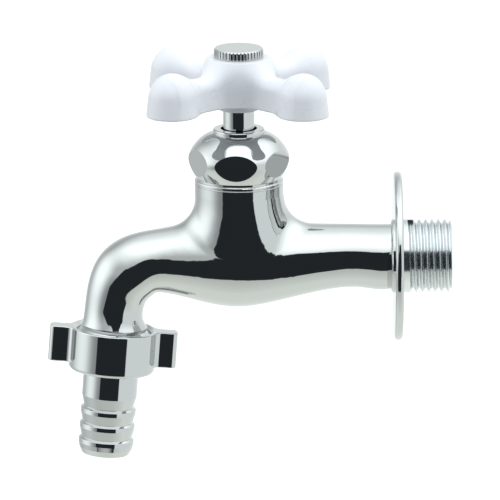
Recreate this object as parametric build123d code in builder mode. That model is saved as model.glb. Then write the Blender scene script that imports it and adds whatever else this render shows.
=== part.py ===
"""Wall-mounted hose tap with a cross handle, as an assembly of its separate pieces.

Millimetres. The origin is on the inlet's axis at the wall. +X runs into the wall, +Z is up,
and the spout, the handle and the hose tail are on the -X side.
"""

from build123d import *
from math import cos, radians, sin
import os

os.makedirs("parts", exist_ok=True)

# Pipe thread G 1/2, on the inlet and on the spout's end
PIPE_THREAD_RADIUS = 20.955 / 2
PIPE_THREAD_PITCH = 25.4 / 14
PIPE_THREAD_DEPTH = 1.16
THREAD_CLEARANCE = 0.07
# Share of the pitch that is flat at a thread's crest and at its root
THREAD_FLAT = 0.12

# Inlet pipe and wall flange
INLET_THREAD_END = 14.2
INLET_THREAD_START = 1.4
INLET_CHAMFER = 0.9
INLET_PIPE_RADIUS = 9.2
INLET_BORE_RADIUS = 6.5
INLET_COLLAR_START = -2.7
INLET_COLLAR_FLARE = 0.5
INLET_COLLAR_ROUND = 1.3
FLANGE_RADIUS = 24.15
FLANGE_THICKNESS = 2.35
FLANGE_ROUND = 1.0

# Neck on the spindle's axis, with the threaded spigot that the bonnet nut screws onto
SPINDLE_X = -46.55
NECK_RADIUS = 12.7
NECK_TOP = 23.1
NECK_FILLET = 8.5
NECK_STRAIGHT_FROM = 19.0
# The neck spreads along the pipe below its straight part: height, shift towards the wall, half length, half width
neck_sections = [
    (-3, 0.3, 26.5, 11.2),
    (1, 0.3, 22.3, 12.3),
    (4, 0.3, 18.4, 12.65),
    (8, 0.3, 15.6, 12.7),
    (12, 0.3, 13.9, 12.7),
    (16, 0.2, 12.95, 12.7),
]
NECK_RIM = 0.9
NECK_GROOVE = 0.25
SPIGOT_RADIUS = 10.4
SPIGOT_TOP = 31.0
SPIGOT_PITCH = 1.5
SPIGOT_THREAD_DEPTH = 0.9

# Valve chamber, seat and waterways
SEAT_FLOOR = -1.0
SEAT_LIP_TOP = 0.8
SEAT_LIP_RADIUS = 7.4
SEAT_BORE_RADIUS = 5.5
CHAMBER_RADIUS = 9.2
CHAMBER_TOP = 12.4

# Spindle and packing
STEM_RADIUS = 4.5
RUNNING_CLEARANCE = 0.05
SPINDLE_FOOT = 5.6
SPINDLE_FOOT_RADIUS = 5.6
SPINDLE_THREAD_RADIUS = 6.9
SPINDLE_THREAD_DEPTH = 1.0
SPINDLE_THREAD_PITCH = 2.5
SPINDLE_THREAD_START = 9.5
SPINDLE_THREAD_END = 17.3
SPINDLE_SHOULDER = 49.0
SPINDLE_TOP = 57.0
SPLINE_RADIUS = 4.0
SPLINE_TEETH = 24
PACKING_FLOOR = 25.0
PACKING_POCKET_RADIUS = 8.2
PACKING_RADIUS = 7.9
PACKING_SEAT_TOP = 26.4
PACKING_TOP = 33.0
FOLLOWER_TOP = 34.5

# Jumper valve: a loose stem in the spindle's foot carries the washer that closes the seat
WASHER_THICKNESS = 3.0
JUMPER_DISC_RADIUS = 7.6
JUMPER_STEM_RADIUS = 2.5
JUMPER_STEM_TOP = 15.6
JUMPER_STUD_RADIUS = 2.0
JUMPER_NUT_RADIUS = 3.6
JUMPER_NUT_THICKNESS = 2.0

# Bonnet nut: heights are above the neck's top
BONNET_FLAT_DISTANCE = 13.1
BONNET_TURN = -4.8
BONNET_TOP = 14.65
BONNET_HOLE_RADIUS = 5.2
BONNET_LIP_RADIUS = 7.4
BONNET_LIP_FOOT = 13.45
BONNET_LIP_ROUND = 0.4
bonnet_dome = [
    (12.3, 0.5),
    (13.4, 2.5),
    (14.15, 4.4),
    (14.45, 6.3),
    (14.0, 7.9),
    (12.9, 9.7),
    (11.4, 11.4),
    (9.6, 12.7),
    (7.7, BONNET_LIP_FOOT),
]

# Cross handle
HANDLE_BASE = 45.4
HANDLE_TOP = 58.6
HANDLE_TURN = -1.8
HUB_RADIUS = 8.5
HUB_WAIST_RADIUS = 6.4
HUB_WAIST_TOP = 52.0
HUB_FOOT = 43.4
HUB_FOOT_RADIUS = 6.0
ARM_COUNT = 4
ARM_WIDTH = 7.0
ARM_ROUND = 3.2
# Each arm narrows and drops away from the hub: distance from the axis, width, height
arm_sections = [
    (6.5, 9.2, 13.0),
    (8.5, 8.4, 11.9),
    (11.0, 7.6, 10.5),
    (14.0, 7.1, 9.6),
    (18.0, ARM_WIDTH, 9.4),
]
# The web between neighbouring arms: height above the base, inner round
web_sections = [(0, 3.6), (6.2, 8.4)]
WEB_SPAN = 24.5
LOBE_RADIUS = 6.75
LOBE_BASE_RADIUS = 7.4
LOBE_DISTANCE = 26.45
LOBE_SHOULDER = 5.75
LOBE_FILLET = 3.0
BUSH_RADIUS = 5.7
BUSH_TOP = 57.8

# Cap screw
CAP_RADIUS = 7.1
CAP_HEIGHT = 2.7
CAP_BEVEL = 0.4
CAP_FLUTES = 42
CAP_FLUTE_RADIUS = 0.32
CAP_SCREW_RADIUS = 2.0
CAP_SCREW_LENGTH = 9.5

# Outlet: its axis passes through the middle of the wing nut's top and leans away from the wall
OUTLET_X = -82.45
OUTLET_Z = -20.62
OUTLET_LEAN = 4.3
OUTLET_BORE_RADIUS = 6.0
OUTLET_RELIEF_RADIUS = 9.2
LIP_BOTTOM = -0.7
SPOUT_THREAD_START = 0.3
SPOUT_END = 6.0

# Wing nut
NUT_RADIUS = 12.3
NUT_HEIGHT = 12.3
NUT_MOUTH_RADIUS = 11.35
NUT_HOLE_RADIUS = 8.25
NUT_BOTTOM_ROUND = 1.2
NUT_MOUTH_DEPTH = 0.8
NUT_THREAD_END = 9.6
WING_REACH = 18.3
WING_THICKNESS = 5.0
WING_HEIGHT = 10.3
WING_ROUND = 1.6
WING_ROOT_FILLET = 1.5

# Hose tail: heights below the wing nut's bottom unless named otherwise
GASKET_THICKNESS = 1.8
TAIL_FLANGE_RADIUS = 10.2
TAIL_FLANGE_THICKNESS = 1.8
TAIL_LAND_RADIUS = NUT_HOLE_RADIUS - RUNNING_CLEARANCE
TAIL_NECK_RADIUS = 7.87
TAIL_NECK_LENGTH = 7.4
TAIL_BORE_RADIUS = 5.5
BARB_RADIUS = 7.9
BARB_ROOT_RADIUS = 7.2
FIRST_BARB_ROOT_RADIUS = 7.08
BARB_START = 10.7
BARB_SHOULDER = 0.5
BARB_LAND = 1.2
BARB_PITCH = 4.5
BARB_COUNT = 3
TAIL_END_RADIUS = 6.7
TAIL_LENGTH = 24.6
TAIL_END_ROUND = 0.9

# Local +Z of each plane runs along its piece's axis
inlet_plane = Plane(origin=(0, 0, 0), x_dir=(0, 0, 1), z_dir=(1, 0, 0))
spindle_plane = Plane(origin=(SPINDLE_X, 0, 0))
outlet_plane = Plane(
    origin=(OUTLET_X, 0, OUTLET_Z),
    x_dir=(cos(radians(OUTLET_LEAN)), 0, -sin(radians(OUTLET_LEAN))),
    z_dir=(-sin(radians(OUTLET_LEAN)), 0, -cos(radians(OUTLET_LEAN))),
)


def profile_plane(plane):
    """The plane through an axis for a half profile: X is the radius and Y the height."""
    return Plane(origin=plane.origin, x_dir=plane.x_dir, z_dir=-plane.y_dir)


def axis_of(plane):
    return Axis(plane.origin, plane.z_dir)


def section_plane(x, z, turn):
    """A plane across the casting's path, turned down by so many degrees from the inlet's line."""
    return Plane(
        origin=(x, 0, z),
        x_dir=(0, 1, 0),
        z_dir=(-cos(radians(turn)), 0, -sin(radians(turn))),
    )


def turned(plane, points):
    """A solid of revolution from the (radius, height) corners of its half profile."""
    with BuildPart() as piece:
        with BuildSketch(profile_plane(plane)):
            with BuildLine():
                Polyline(*points, close=True)
            make_face()
        revolve(axis=axis_of(plane))
    return piece.part


def thread_form(plane, radius, depth, pitch, start, end, outwards):
    """A right-hand helical V along a plane's axis: a groove cut in from the radius, or a ridge out from it."""
    side = 1 if outwards else -1
    wide = pitch * (0.5 - THREAD_FLAT / 2)
    narrow = pitch * THREAD_FLAT / 2
    overlap = 0.1
    slope = (wide - narrow) / depth
    base = wide + slope * overlap
    with BuildPart() as form:
        with BuildLine() as path:
            Helix(pitch, end - start, radius)
        with BuildSketch(Plane(origin=path.line @ 0, x_dir=(1, 0, 0), z_dir=path.line % 0)):
            with BuildLine():
                Polyline(
                    (-side * overlap, -base),
                    (side * depth, -narrow),
                    (side * depth, narrow),
                    (-side * overlap, base),
                    close=True,
                )
            make_face()
        sweep(path=path.line, is_frenet=True)
    return form.part.moved(plane.offset(start).location)


# The casting's round sections from the flange to the spout's lip: x, z, radius, turn
casting_sections = [
    (-FLANGE_THICKNESS, 0, INLET_PIPE_RADIUS, 0),
    (-12, 0.15, 9.12, 0),
    (-20.5, 0, 9.4, 0),
    (-28, -0.6, 10.3, 0),
    (-37.3, -1.05, 12.0, 0),
    (-47.1, -1.1, 13.2, 0),
    (-56.6, -1.05, 11.9, 0),
    (-64.0, -0.8, 10.2, 0),
    (-69.0, -0.85, 9.25, 0),
    (-74.8, -2.2, 9.3, 22.5),
    (-79.4, -5.5, 9.4, 45),
    (-81.75, -10.6, 8.7, 67.5),
    (-82.6, -16.0, 8.4, 87),
    (-82.38, -19.76, 9.4, 85.7),
]
# The way in, down under the seat and up through it
inlet_passage = [
    (-29.5, 0, INLET_BORE_RADIUS, 0),
    (-33.5, -2.6, 5.7, 25),
    (-38.5, -6.8, 4.4, 22),
    (-44.5, -7.7, 4.3, 2),
    (-53.5, -7.4, 4.3, 0),
]
# The way out, from the chamber's side round the bend
outlet_passage = [
    (-49.5, 4.6, 4.8, 0),
    (-58.0, 3.4, 5.2, 10),
    (-69.0, -0.9, 6.2, 15),
    (-74.8, -2.5, 6.3, 22.5),
    (-79.2, -5.7, 6.3, 45),
    (-81.5, -10.6, 6.1, 67.5),
    (-82.35, -16.0, OUTLET_BORE_RADIUS, 85.7),
]

inlet_groove = thread_form(
    inlet_plane,
    PIPE_THREAD_RADIUS,
    PIPE_THREAD_DEPTH,
    PIPE_THREAD_PITCH,
    INLET_THREAD_START + PIPE_THREAD_PITCH / 2,
    INLET_THREAD_END + PIPE_THREAD_PITCH,
    outwards=False,
)
spout_groove = thread_form(
    outlet_plane,
    PIPE_THREAD_RADIUS,
    PIPE_THREAD_DEPTH,
    PIPE_THREAD_PITCH,
    SPOUT_THREAD_START - PIPE_THREAD_PITCH,
    SPOUT_END + PIPE_THREAD_PITCH,
    outwards=False,
)
spigot_groove = thread_form(
    spindle_plane,
    SPIGOT_RADIUS,
    SPIGOT_THREAD_DEPTH,
    SPIGOT_PITCH,
    NECK_TOP + SPIGOT_PITCH,
    SPIGOT_TOP + SPIGOT_PITCH,
    outwards=False,
)

with BuildPart() as neck:
    for height, shift, half_length, half_width in neck_sections:
        with BuildSketch(Plane(origin=(SPINDLE_X + shift, 0, height))):
            Ellipse(half_length, half_width)
    with BuildSketch(spindle_plane.offset(NECK_STRAIGHT_FROM)):
        Circle(NECK_RADIUS)
    loft()
flared_neck = neck.part

with BuildPart() as tap_body:
    for x, z, radius, turn in casting_sections:
        with BuildSketch(section_plane(x, z, turn)):
            Circle(radius)
    loft()
    add(flared_neck)
    neck_foot = (
        tap_body.edges()
        .filter_by(lambda edge: edge.is_closed)
        .filter_by_position(Axis.X, SPINDLE_X - 2 * NECK_RADIUS, SPINDLE_X + 2 * NECK_RADIUS)
        .filter_by_position(Axis.Z, 0, NECK_STRAIGHT_FROM - 1)
    )
    fillet(neck_foot, NECK_FILLET)
    with BuildSketch(spindle_plane.offset(NECK_STRAIGHT_FROM)):
        Circle(NECK_RADIUS)
    extrude(amount=NECK_TOP - NECK_STRAIGHT_FROM)
    neck_rim = tap_body.edges().filter_by(GeomType.CIRCLE).group_by(Axis.Z)[-1]
    fillet(neck_rim, NECK_RIM / 2)
    # A fine turned line sets the rim off from the neck
    with BuildSketch(profile_plane(spindle_plane)):
        with Locations((NECK_RADIUS, NECK_TOP - NECK_RIM - NECK_GROOVE)):
            Circle(NECK_GROOVE)
    revolve(axis=axis_of(spindle_plane), mode=Mode.SUBTRACT)
    # Inlet end, with a small flare in front of the flange
    with BuildSketch(profile_plane(inlet_plane)):
        with BuildLine():
            RadiusArc(
                (INLET_PIPE_RADIUS - 0.1, INLET_COLLAR_START - INLET_COLLAR_FLARE),
                (PIPE_THREAD_RADIUS, INLET_COLLAR_START),
                -INLET_COLLAR_ROUND,
            )
            Polyline(
                (PIPE_THREAD_RADIUS, INLET_COLLAR_START),
                (PIPE_THREAD_RADIUS, INLET_THREAD_END - INLET_CHAMFER),
                (PIPE_THREAD_RADIUS - INLET_CHAMFER, INLET_THREAD_END),
                (0, INLET_THREAD_END),
                (0, INLET_COLLAR_START - INLET_COLLAR_FLARE),
                (INLET_PIPE_RADIUS - 0.1, INLET_COLLAR_START - INLET_COLLAR_FLARE),
            )
        make_face()
    revolve(axis=axis_of(inlet_plane))
    add(inlet_groove, mode=Mode.SUBTRACT)
    # Spout's end below the lip
    add(
        turned(
            outlet_plane,
            [
                (0, LIP_BOTTOM - 0.6),
                (OUTLET_RELIEF_RADIUS - 0.6, LIP_BOTTOM - 0.6),
                (OUTLET_RELIEF_RADIUS, LIP_BOTTOM),
                (OUTLET_RELIEF_RADIUS, SPOUT_THREAD_START - 0.2),
                (PIPE_THREAD_RADIUS, SPOUT_THREAD_START + 0.8),
                (PIPE_THREAD_RADIUS, SPOUT_END - 0.6),
                (PIPE_THREAD_RADIUS - 0.6, SPOUT_END),
                (0, SPOUT_END),
            ],
        )
    )
    add(spout_groove, mode=Mode.SUBTRACT)
    # Spigot above the neck
    with BuildSketch(spindle_plane.offset(NECK_TOP)):
        Circle(SPIGOT_RADIUS)
    extrude(amount=SPIGOT_TOP - NECK_TOP)
    add(spigot_groove, mode=Mode.SUBTRACT)
    # Chamber over the seat, spindle's thread and packing pocket
    add(
        turned(
            spindle_plane,
            [
                (0, SEAT_FLOOR),
                (CHAMBER_RADIUS, SEAT_FLOOR),
                (CHAMBER_RADIUS, CHAMBER_TOP),
                (SPINDLE_THREAD_RADIUS + 0.1, CHAMBER_TOP),
                (SPINDLE_THREAD_RADIUS + 0.1, PACKING_FLOOR),
                (PACKING_POCKET_RADIUS, PACKING_FLOOR),
                (PACKING_POCKET_RADIUS, SPIGOT_TOP),
                (0, SPIGOT_TOP),
            ],
        ),
        mode=Mode.SUBTRACT,
    )
    with BuildSketch(spindle_plane.offset(SEAT_FLOOR - 0.5)):
        Circle(SEAT_LIP_RADIUS)
    extrude(amount=SEAT_LIP_TOP - SEAT_FLOOR + 0.5)
    # Waterways
    with BuildSketch(inlet_plane.offset(INLET_THREAD_END)):
        Circle(INLET_BORE_RADIUS)
    extrude(amount=inlet_passage[0][0] - INLET_THREAD_END, mode=Mode.SUBTRACT)
    for x, z, radius, turn in inlet_passage:
        with BuildSketch(section_plane(x, z, turn)):
            Circle(radius)
    loft(mode=Mode.SUBTRACT)
    with BuildSketch(spindle_plane.offset(SEAT_LIP_TOP)):
        Circle(SEAT_BORE_RADIUS)
    extrude(amount=-(SEAT_LIP_TOP + 7), mode=Mode.SUBTRACT)
    for x, z, radius, turn in outlet_passage:
        with BuildSketch(section_plane(x, z, turn)):
            Circle(radius)
    loft(mode=Mode.SUBTRACT)
    with BuildSketch(outlet_plane.offset(SPOUT_END)):
        Circle(OUTLET_BORE_RADIUS)
    extrude(amount=-(SPOUT_END + 6), mode=Mode.SUBTRACT)
tap_body.part.label = "tap_body"
export_step(tap_body.part, "parts/tap_body.step")

with BuildPart() as wall_flange:
    with BuildSketch(inlet_plane):
        Circle(FLANGE_RADIUS)
        Circle(PIPE_THREAD_RADIUS + THREAD_CLEARANCE, mode=Mode.SUBTRACT)
    extrude(amount=-FLANGE_THICKNESS)
    rim = wall_flange.edges().filter_by(GeomType.CIRCLE).group_by(SortBy.RADIUS)[-1]
    fillet(rim, FLANGE_ROUND)
wall_flange.part.label = "wall_flange"
export_step(wall_flange.part, "parts/wall_flange.step")

bonnet_plane = spindle_plane.offset(NECK_TOP)
bonnet_pocket = FOLLOWER_TOP - NECK_TOP
with BuildPart() as bonnet_nut:
    with BuildSketch(profile_plane(bonnet_plane)):
        with BuildLine():
            Spline(*bonnet_dome)
            Line(bonnet_dome[-1], (BONNET_LIP_RADIUS, BONNET_LIP_FOOT))
            Line((BONNET_LIP_RADIUS, BONNET_LIP_FOOT), (BONNET_LIP_RADIUS, BONNET_TOP - BONNET_LIP_ROUND))
            RadiusArc(
                (BONNET_LIP_RADIUS, BONNET_TOP - BONNET_LIP_ROUND),
                (BONNET_LIP_RADIUS - BONNET_LIP_ROUND, BONNET_TOP),
                -BONNET_LIP_ROUND,
            )
            Polyline(
                (BONNET_LIP_RADIUS - BONNET_LIP_ROUND, BONNET_TOP),
                (0, BONNET_TOP),
                (0, 0),
                (bonnet_dome[0][0], 0),
                bonnet_dome[0],
            )
        make_face()
    revolve(axis=axis_of(bonnet_plane))
    with BuildSketch(bonnet_plane):
        RegularPolygon(BONNET_FLAT_DISTANCE, 6, major_radius=False, rotation=BONNET_TURN)
    extrude(amount=BONNET_TOP, mode=Mode.INTERSECT)
    add(
        turned(
            bonnet_plane,
            [
                (0, 0),
                (SPIGOT_RADIUS + THREAD_CLEARANCE, 0),
                (SPIGOT_RADIUS + THREAD_CLEARANCE, SPIGOT_TOP - NECK_TOP + 0.3),
                (PACKING_RADIUS + 0.1, SPIGOT_TOP - NECK_TOP + 0.3),
                (PACKING_RADIUS + 0.1, bonnet_pocket),
                (BONNET_HOLE_RADIUS, bonnet_pocket),
                (BONNET_HOLE_RADIUS, BONNET_TOP),
                (0, BONNET_TOP),
            ],
        ),
        mode=Mode.SUBTRACT,
    )
bonnet_nut.part.label = "bonnet_nut"
export_step(bonnet_nut.part, "parts/bonnet_nut.step")

stem_hole = STEM_RADIUS + RUNNING_CLEARANCE
wide_stem_hole = STEM_RADIUS + 0.35
packing_seat = turned(
    spindle_plane,
    [
        (wide_stem_hole, PACKING_FLOOR),
        (PACKING_RADIUS, PACKING_FLOOR),
        (PACKING_RADIUS, PACKING_SEAT_TOP),
        (wide_stem_hole, PACKING_SEAT_TOP),
    ],
)
spindle_packing = turned(
    spindle_plane,
    [
        (stem_hole, PACKING_SEAT_TOP),
        (PACKING_RADIUS, PACKING_SEAT_TOP),
        (PACKING_RADIUS, SPIGOT_TOP - 0.6),
        (PACKING_RADIUS - 1.6, PACKING_TOP),
        (stem_hole, PACKING_TOP),
    ],
)
packing_follower = turned(
    spindle_plane,
    [
        (wide_stem_hole, PACKING_TOP),
        (PACKING_RADIUS, PACKING_TOP),
        (PACKING_RADIUS, FOLLOWER_TOP),
        (wide_stem_hole, FOLLOWER_TOP),
    ],
)

spindle_ridge = thread_form(
    spindle_plane,
    SPINDLE_THREAD_RADIUS - SPINDLE_THREAD_DEPTH,
    SPINDLE_THREAD_DEPTH,
    SPINDLE_THREAD_PITCH,
    SPINDLE_THREAD_START + SPINDLE_THREAD_PITCH / 2,
    SPINDLE_THREAD_END - SPINDLE_THREAD_PITCH / 2,
    outwards=True,
)
with BuildPart() as spindle:
    add(
        turned(
            spindle_plane,
            [
                (0, SPINDLE_FOOT),
                (SPINDLE_FOOT_RADIUS, SPINDLE_FOOT),
                (SPINDLE_THREAD_RADIUS - SPINDLE_THREAD_DEPTH, SPINDLE_THREAD_START),
                (SPINDLE_THREAD_RADIUS - SPINDLE_THREAD_DEPTH, SPINDLE_THREAD_END),
                (STEM_RADIUS, SPINDLE_THREAD_END + 1.0),
                (STEM_RADIUS, SPINDLE_SHOULDER),
                (SPLINE_RADIUS, SPINDLE_SHOULDER),
                (SPLINE_RADIUS, SPINDLE_TOP),
                (0, SPINDLE_TOP),
            ],
        )
    )
    add(spindle_ridge)
    with BuildSketch(spindle_plane.offset(SPINDLE_SHOULDER)):
        with PolarLocations(SPLINE_RADIUS + 0.05, SPLINE_TEETH):
            RegularPolygon(0.34, 3, rotation=180)
    extrude(amount=SPINDLE_TOP - SPINDLE_SHOULDER, mode=Mode.SUBTRACT)
    with BuildSketch(spindle_plane.offset(SPINDLE_TOP)):
        Circle(CAP_SCREW_RADIUS + RUNNING_CLEARANCE)
    extrude(amount=-CAP_SCREW_LENGTH, mode=Mode.SUBTRACT)
    with BuildSketch(spindle_plane.offset(SPINDLE_FOOT)):
        Circle(JUMPER_STEM_RADIUS + 0.1)
    extrude(amount=JUMPER_STEM_TOP - SPINDLE_FOOT + 0.8, mode=Mode.SUBTRACT)
spindle.part.label = "spindle"
export_step(spindle.part, "parts/spindle.step")

washer_top = SEAT_LIP_TOP + WASHER_THICKNESS
jumper_valve = turned(
    spindle_plane,
    [
        (0, SEAT_LIP_TOP - JUMPER_NUT_THICKNESS - 0.5),
        (JUMPER_STUD_RADIUS, SEAT_LIP_TOP - JUMPER_NUT_THICKNESS - 0.5),
        (JUMPER_STUD_RADIUS, washer_top),
        (JUMPER_DISC_RADIUS, washer_top),
        (JUMPER_DISC_RADIUS, SPINDLE_FOOT),
        (JUMPER_STEM_RADIUS, SPINDLE_FOOT),
        (JUMPER_STEM_RADIUS, JUMPER_STEM_TOP - 0.5),
        (JUMPER_STEM_RADIUS - 0.5, JUMPER_STEM_TOP),
        (0, JUMPER_STEM_TOP),
    ],
)
jumper_washer = turned(
    spindle_plane,
    [
        (JUMPER_STUD_RADIUS, SEAT_LIP_TOP),
        (SEAT_LIP_RADIUS - 0.2, SEAT_LIP_TOP),
        (SEAT_LIP_RADIUS, SEAT_LIP_TOP + 0.2),
        (SEAT_LIP_RADIUS, washer_top),
        (JUMPER_STUD_RADIUS, washer_top),
    ],
)
with BuildPart() as jumper_nut:
    with BuildSketch(spindle_plane.offset(SEAT_LIP_TOP)):
        RegularPolygon(JUMPER_NUT_RADIUS, 6)
        Circle(JUMPER_STUD_RADIUS, mode=Mode.SUBTRACT)
    extrude(amount=-JUMPER_NUT_THICKNESS)
jumper_nut.part.label = "jumper_nut"
export_step(jumper_nut.part, "parts/jumper_nut.step")

handle_bush = turned(
    spindle_plane,
    [
        (SPLINE_RADIUS + RUNNING_CLEARANCE, SPINDLE_SHOULDER),
        (BUSH_RADIUS, SPINDLE_SHOULDER),
        (BUSH_RADIUS, SPINDLE_SHOULDER + 3.4),
        (BUSH_RADIUS - 0.5, SPINDLE_SHOULDER + 3.9),
        (BUSH_RADIUS - 0.5, BUSH_TOP - 3.9),
        (BUSH_RADIUS, BUSH_TOP - 3.4),
        (BUSH_RADIUS, BUSH_TOP),
        (SPLINE_RADIUS + RUNNING_CLEARANCE, BUSH_TOP),
    ],
)

arm_angles = [45 + HANDLE_TURN + 360 / ARM_COUNT * i for i in range(ARM_COUNT)]


def arm_face(width, height):
    """An arm's cross-section on its foot line, rounded at the top."""
    with BuildSketch() as face:
        with BuildLine():
            FilletPolyline(
                (-width / 2, 0),
                (-width / 2, height),
                (width / 2, height),
                (width / 2, 0),
                radius=ARM_ROUND,
            )
            Line((width / 2, 0), (-width / 2, 0))
        make_face()
    return face.sketch


def from_handle_axis(edge):
    centre = edge.center() - Vector(SPINDLE_X, 0, 0)
    return Vector(centre.X, centre.Y, 0).length


hub = turned(
    spindle_plane,
    [
        (0, HUB_FOOT),
        (HUB_FOOT_RADIUS, HUB_FOOT),
        (HUB_FOOT_RADIUS, HANDLE_BASE),
        (HUB_WAIST_RADIUS, HANDLE_BASE),
        (HUB_RADIUS, HUB_WAIST_TOP),
        (HUB_RADIUS, HANDLE_TOP),
        (0, HANDLE_TOP),
    ],
)
with BuildPart() as cross_handle:
    add(hub)
    for angle in arm_angles:
        arm_plane = Plane(
            origin=(SPINDLE_X, 0, HANDLE_BASE),
            x_dir=(-sin(radians(angle)), cos(radians(angle)), 0),
            z_dir=(cos(radians(angle)), sin(radians(angle)), 0),
        )
        for distance, width, height in arm_sections:
            with BuildSketch(arm_plane.offset(distance)):
                add(arm_face(width, height))
        loft()
        arm_distance, arm_width, arm_height = arm_sections[-1]
        with BuildSketch(arm_plane.offset(arm_distance)):
            add(arm_face(arm_width, arm_height))
        extrude(amount=LOBE_DISTANCE - arm_distance)
    for height, inner_round in web_sections:
        with BuildSketch(spindle_plane.offset(HANDLE_BASE + height)) as web:
            Rectangle(WEB_SPAN, ARM_WIDTH, rotation=arm_angles[0])
            Rectangle(WEB_SPAN, ARM_WIDTH, rotation=arm_angles[1])
            inner_corners = web.vertices().group_by(SortBy.DISTANCE)[0]
            fillet(inner_corners, inner_round)
    loft(ruled=True)
    for angle in arm_angles:
        lobe_plane = Plane(
            origin=(
                SPINDLE_X + LOBE_DISTANCE * cos(radians(angle)),
                LOBE_DISTANCE * sin(radians(angle)),
                HANDLE_BASE,
            )
        )
        with BuildSketch(profile_plane(lobe_plane)):
            with BuildLine():
                Polyline(
                    (0, LOBE_SHOULDER + LOBE_RADIUS),
                    (0, 0),
                    (LOBE_BASE_RADIUS, 0),
                    (LOBE_RADIUS, LOBE_SHOULDER),
                )
                RadiusArc(
                    (LOBE_RADIUS, LOBE_SHOULDER),
                    (0, LOBE_SHOULDER + LOBE_RADIUS),
                    -LOBE_RADIUS,
                )
            make_face()
        revolve(axis=axis_of(lobe_plane))
    # Each arm runs into its lobe through a soft fillet, down both sides and over the top
    lobe_roots = (
        cross_handle.edges()
        .filter_by(lambda edge: edge.center().Z > HANDLE_BASE + 1)
        .filter_by(
            lambda edge: (
                LOBE_DISTANCE - LOBE_RADIUS < from_handle_axis(edge) < LOBE_DISTANCE
                and edge.geom_type != GeomType.LINE
            )
            or (
                LOBE_DISTANCE - LOBE_RADIUS < from_handle_axis(edge) < LOBE_DISTANCE - 4
                and edge.geom_type == GeomType.LINE
                and edge.center().Z < HANDLE_BASE + LOBE_SHOULDER
            )
        )
    )
    fillet(lobe_roots, LOBE_FILLET)
    add(
        turned(
            spindle_plane,
            [
                (0, HUB_FOOT),
                (STEM_RADIUS + 0.1, HUB_FOOT),
                (STEM_RADIUS + 0.1, SPINDLE_SHOULDER),
                (BUSH_RADIUS, SPINDLE_SHOULDER),
                (BUSH_RADIUS, BUSH_TOP),
                (CAP_SCREW_RADIUS + 0.1, BUSH_TOP),
                (CAP_SCREW_RADIUS + 0.1, HANDLE_TOP),
                (0, HANDLE_TOP),
            ],
        ),
        mode=Mode.SUBTRACT,
    )
cross_handle.part.label = "cross_handle"
export_step(cross_handle.part, "parts/cross_handle.step")

with BuildPart() as cap_screw:
    add(
        turned(
            spindle_plane,
            [
                (0, HANDLE_TOP - CAP_SCREW_LENGTH),
                (CAP_SCREW_RADIUS - 0.5, HANDLE_TOP - CAP_SCREW_LENGTH),
                (CAP_SCREW_RADIUS, HANDLE_TOP - CAP_SCREW_LENGTH + 0.5),
                (CAP_SCREW_RADIUS, HANDLE_TOP),
                (CAP_RADIUS, HANDLE_TOP),
                (CAP_RADIUS, HANDLE_TOP + CAP_HEIGHT - CAP_BEVEL),
                (CAP_RADIUS - CAP_BEVEL, HANDLE_TOP + CAP_HEIGHT),
                (0, HANDLE_TOP + CAP_HEIGHT),
            ],
        )
    )
    # Grip flutes round the head, run out at the bevel
    with BuildSketch(spindle_plane.offset(HANDLE_TOP)):
        with PolarLocations(CAP_RADIUS + 0.05, CAP_FLUTES):
            Circle(CAP_FLUTE_RADIUS)
    extrude(amount=CAP_HEIGHT, mode=Mode.SUBTRACT)
cap_screw.part.label = "cap_screw"
export_step(cap_screw.part, "parts/cap_screw.step")

nut_bore = turned(
    outlet_plane,
    [
        (0, 0),
        (NUT_MOUTH_RADIUS, 0),
        (PIPE_THREAD_RADIUS + THREAD_CLEARANCE, NUT_MOUTH_DEPTH),
        (PIPE_THREAD_RADIUS + THREAD_CLEARANCE, NUT_THREAD_END),
        (NUT_HOLE_RADIUS, NUT_THREAD_END),
        (NUT_HOLE_RADIUS, NUT_HEIGHT),
        (0, NUT_HEIGHT),
    ],
)
with BuildPart() as coupling_nut:
    with BuildSketch(outlet_plane):
        Circle(NUT_RADIUS)
    extrude(amount=NUT_HEIGHT)
    nut_bottom = coupling_nut.edges().filter_by(GeomType.CIRCLE).group_by(Axis.Z)[0]
    fillet(nut_bottom, NUT_BOTTOM_ROUND)
    with BuildSketch(outlet_plane) as wings:
        Rectangle(2 * WING_REACH, WING_THICKNESS)
        fillet(wings.vertices(), WING_ROUND)
    extrude(amount=WING_HEIGHT)
    wing_roots = (
        coupling_nut.edges()
        .filter_by(axis_of(outlet_plane))
        .filter_by(lambda edge: abs(outlet_plane.to_local_coords(edge.center()).X) < NUT_RADIUS)
    )
    fillet(wing_roots, WING_ROOT_FILLET)
    add(nut_bore, mode=Mode.SUBTRACT)
coupling_nut.part.label = "coupling_nut"
export_step(coupling_nut.part, "parts/coupling_nut.step")

gasket_bottom = SPOUT_END + GASKET_THICKNESS
hose_gasket = turned(
    outlet_plane,
    [
        (OUTLET_BORE_RADIUS + 0.3, SPOUT_END),
        (PIPE_THREAD_RADIUS - PIPE_THREAD_DEPTH, SPOUT_END),
        (PIPE_THREAD_RADIUS - PIPE_THREAD_DEPTH, gasket_bottom),
        (OUTLET_BORE_RADIUS + 0.3, gasket_bottom),
    ],
)

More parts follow.
